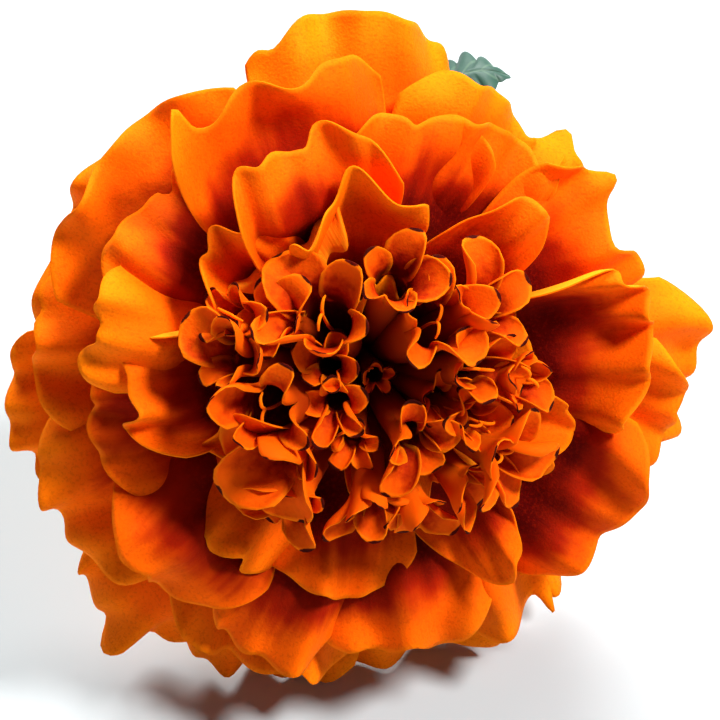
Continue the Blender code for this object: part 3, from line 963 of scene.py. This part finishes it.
def cup_skin():
    """Ribbed green bracts with oil glands, brownish towards the teeth."""
    nodes = Nodes("cup_skin")
    along = nodes.attribute("along")
    across = nodes.attribute("across")
    clouds = nodes.noise(nodes.place(), 300.0, 4.0)
    colour = nodes.mix(clouds, (0.07, 0.13, 0.022, 1.0), (0.16, 0.24, 0.05, 1.0))
    seam = nodes.math("SUBTRACT", 1.0, nodes.between(across, 0.0, 0.25))
    colour = nodes.mix(nodes.math("MULTIPLY", seam, 0.6), colour, (0.22, 0.30, 0.09, 1.0))
    blush = nodes.math("MULTIPLY", nodes.between(along, 0.75, 1.0), nodes.between(clouds, 0.35, 0.65))
    colour = nodes.mix(nodes.math("MULTIPLY", blush, 0.7), colour, (0.10, 0.035, 0.02, 1.0))
    cells = nodes.add("ShaderNodeTexVoronoi", {"Vector": nodes.place(), "Scale": 900.0})
    glands = nodes.math("SUBTRACT", 1.0, nodes.between(cells.outputs["Distance"], 0.12, 0.22))
    colour = nodes.mix(nodes.math("MULTIPLY", glands, 0.6), colour, (0.09, 0.045, 0.008, 1.0))
    relief = nodes.bump(nodes.noise(nodes.place(), 1500.0, 3.0), 0.0001, 0.5)
    relief = nodes.bump(glands, 0.0001, 0.6, relief)
    nodes.shader.inputs["Specular IOR Level"].default_value = 0.3
    nodes.shader.inputs["Subsurface Weight"].default_value = 0.05
    nodes.shader.inputs["Subsurface Scale"].default_value = 0.0008
    return nodes.finish(colour, relief, Roughness=0.5)


def stem_skin():
    """Green with reddish ridges, and a pale pith where it was cut."""
    nodes = Nodes("stem_skin")
    along = nodes.attribute("along")
    across = nodes.attribute("across")
    clouds = nodes.noise(nodes.place(), 260.0, 4.0)
    colour = nodes.mix(clouds, (0.09, 0.16, 0.03, 1.0), (0.19, 0.28, 0.07, 1.0))
    ridge = nodes.math("MULTIPLY", nodes.between(across, 0.1, 1.0), nodes.between(clouds, 0.45, 0.7))
    colour = nodes.mix(nodes.math("MULTIPLY", ridge, 0.7), colour, (0.20, 0.06, 0.03, 1.0))
    colour = nodes.mix(nodes.between(along, 1.02, 1.15), colour, (0.42, 0.46, 0.20, 1.0))
    colour = nodes.mix(nodes.between(along, 1.55, 1.9), colour, (0.16, 0.15, 0.06, 1.0))
    relief = nodes.bump(nodes.noise(nodes.place(), 1800.0, 3.0), 0.00008, 0.6)
    nodes.shader.inputs["Specular IOR Level"].default_value = 0.3
    return nodes.finish(colour, relief, Roughness=0.48)


def leaf_skin():
    """Bluish green, with paler veins."""
    nodes = Nodes("leaf_skin")
    veins = nodes.attribute("veins")
    across = nodes.attribute("across")
    clouds = nodes.noise(nodes.place(), 420.0, 4.0)
    colour = nodes.mix(clouds, (0.022, 0.060, 0.042, 1.0), (0.048, 0.115, 0.085, 1.0))
    middle = nodes.math("SUBTRACT", 1.0, nodes.between(nodes.math("ABSOLUTE", across), 0.02, 0.10))
    lines = nodes.math("MAXIMUM", middle, nodes.between(veins, 0.90, 1.0))
    colour = nodes.mix(nodes.math("MULTIPLY", lines, 0.45), colour, (0.11, 0.19, 0.12, 1.0))
    relief = nodes.bump(clouds, 0.00012, 0.6)
    nodes.shader.inputs["Specular IOR Level"].default_value = 0.3
    return nodes.finish(colour, relief, Roughness=0.45)


def pith_skin():
    """Pale green, with a soft grain."""
    nodes = Nodes("pith_skin")
    clouds = nodes.noise(nodes.place(), 700.0, 3.0)
    colour = nodes.mix(clouds, (0.30, 0.34, 0.12, 1.0), (0.50, 0.52, 0.26, 1.0))
    return nodes.finish(colour, nodes.bump(clouds, 0.0001, 0.5), Roughness=0.7)


# ---------------------------------------------------------------- stage


def aim(thing, place_at, target):
    """Puts a lamp or camera in place and turns its -Z towards the target."""
    thing.location = place_at
    thing.rotation_euler = (Vector(target) - Vector(place_at)).to_track_quat("-Z", "Y").to_euler()


def add_camera():
    data = bpy.data.cameras.new("camera")
    data.lens = CAMERA_LENS
    data.clip_start = 0.01
    camera = bpy.data.objects.new("camera", data)
    bpy.context.scene.collection.objects.link(camera)
    level = cos(CAMERA_ELEVATION)
    back = Vector((sin(CAMERA_AZIMUTH) * level, -cos(CAMERA_AZIMUTH) * level, sin(CAMERA_ELEVATION)))
    right = Vector((cos(CAMERA_AZIMUTH), sin(CAMERA_AZIMUTH), 0.0))
    up = back.cross(right)
    target = (HEAD_CENTRE + right * AIM_RIGHT - up * AIM_DOWN) * MM
    aim(camera, target + back * CAMERA_DISTANCE * MM, target)
    bpy.context.scene.camera = camera


def sun_light(name, where, width, strength):
    """A far lamp in the direction of where, as wide in the sky as width says, in degrees."""
    data = bpy.data.lights.new(name, "SUN")
    data.angle = radians(width)
    data.energy = strength
    light = bpy.data.objects.new(name, data)
    bpy.context.scene.collection.objects.link(light)
    target = HEAD_CENTRE * MM
    aim(light, target + Vector(where), target)


def add_stage():
    """A plain pale floor, a dim white sky, and two far soft lamps."""
    bpy.ops.mesh.primitive_plane_add(size=FLOOR_SIZE, location=(0, 0, 0))
    floor = bpy.context.object
    floor.name = "floor"
    nodes = Nodes("floor")
    floor.data.materials.append(nodes.finish((0.47, 0.51, 0.52, 1.0), Roughness=0.8))
    world = bpy.data.worlds.new("world")
    world.use_nodes = True
    sky = world.node_tree.nodes["Background"]
    sky.inputs["Color"].default_value = (1.0, 1.0, 1.0, 1.0)
    sky.inputs["Strength"].default_value = 0.10
    bpy.context.scene.world = world
    sun_light("key", KEY_FROM, 14, 4.8)
    sun_light("back", BACK_FROM, 48, 5.6)
    settings = bpy.context.scene.view_settings
    settings.view_transform = "Standard"
    settings.look = "None"


def finish_receptacle(finish):
    """The CAD dome keeps its shape and gets the pith's finish."""
    solid = next(item for item in bpy.data.objects if item.name.split(".")[0] == "receptacle")
    solid.data.materials.clear()
    solid.data.materials.append(finish)


def main():
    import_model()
    make_petals(petal_upper(), petal_under())
    make_florets(floret_upper(), floret_under())
    make_styles(style_skin())
    make_cup(cup_skin())
    make_stem(stem_skin())
    make_leaf(leaf_skin())
    finish_receptacle(pith_skin())
    add_stage()
    add_camera()


main()
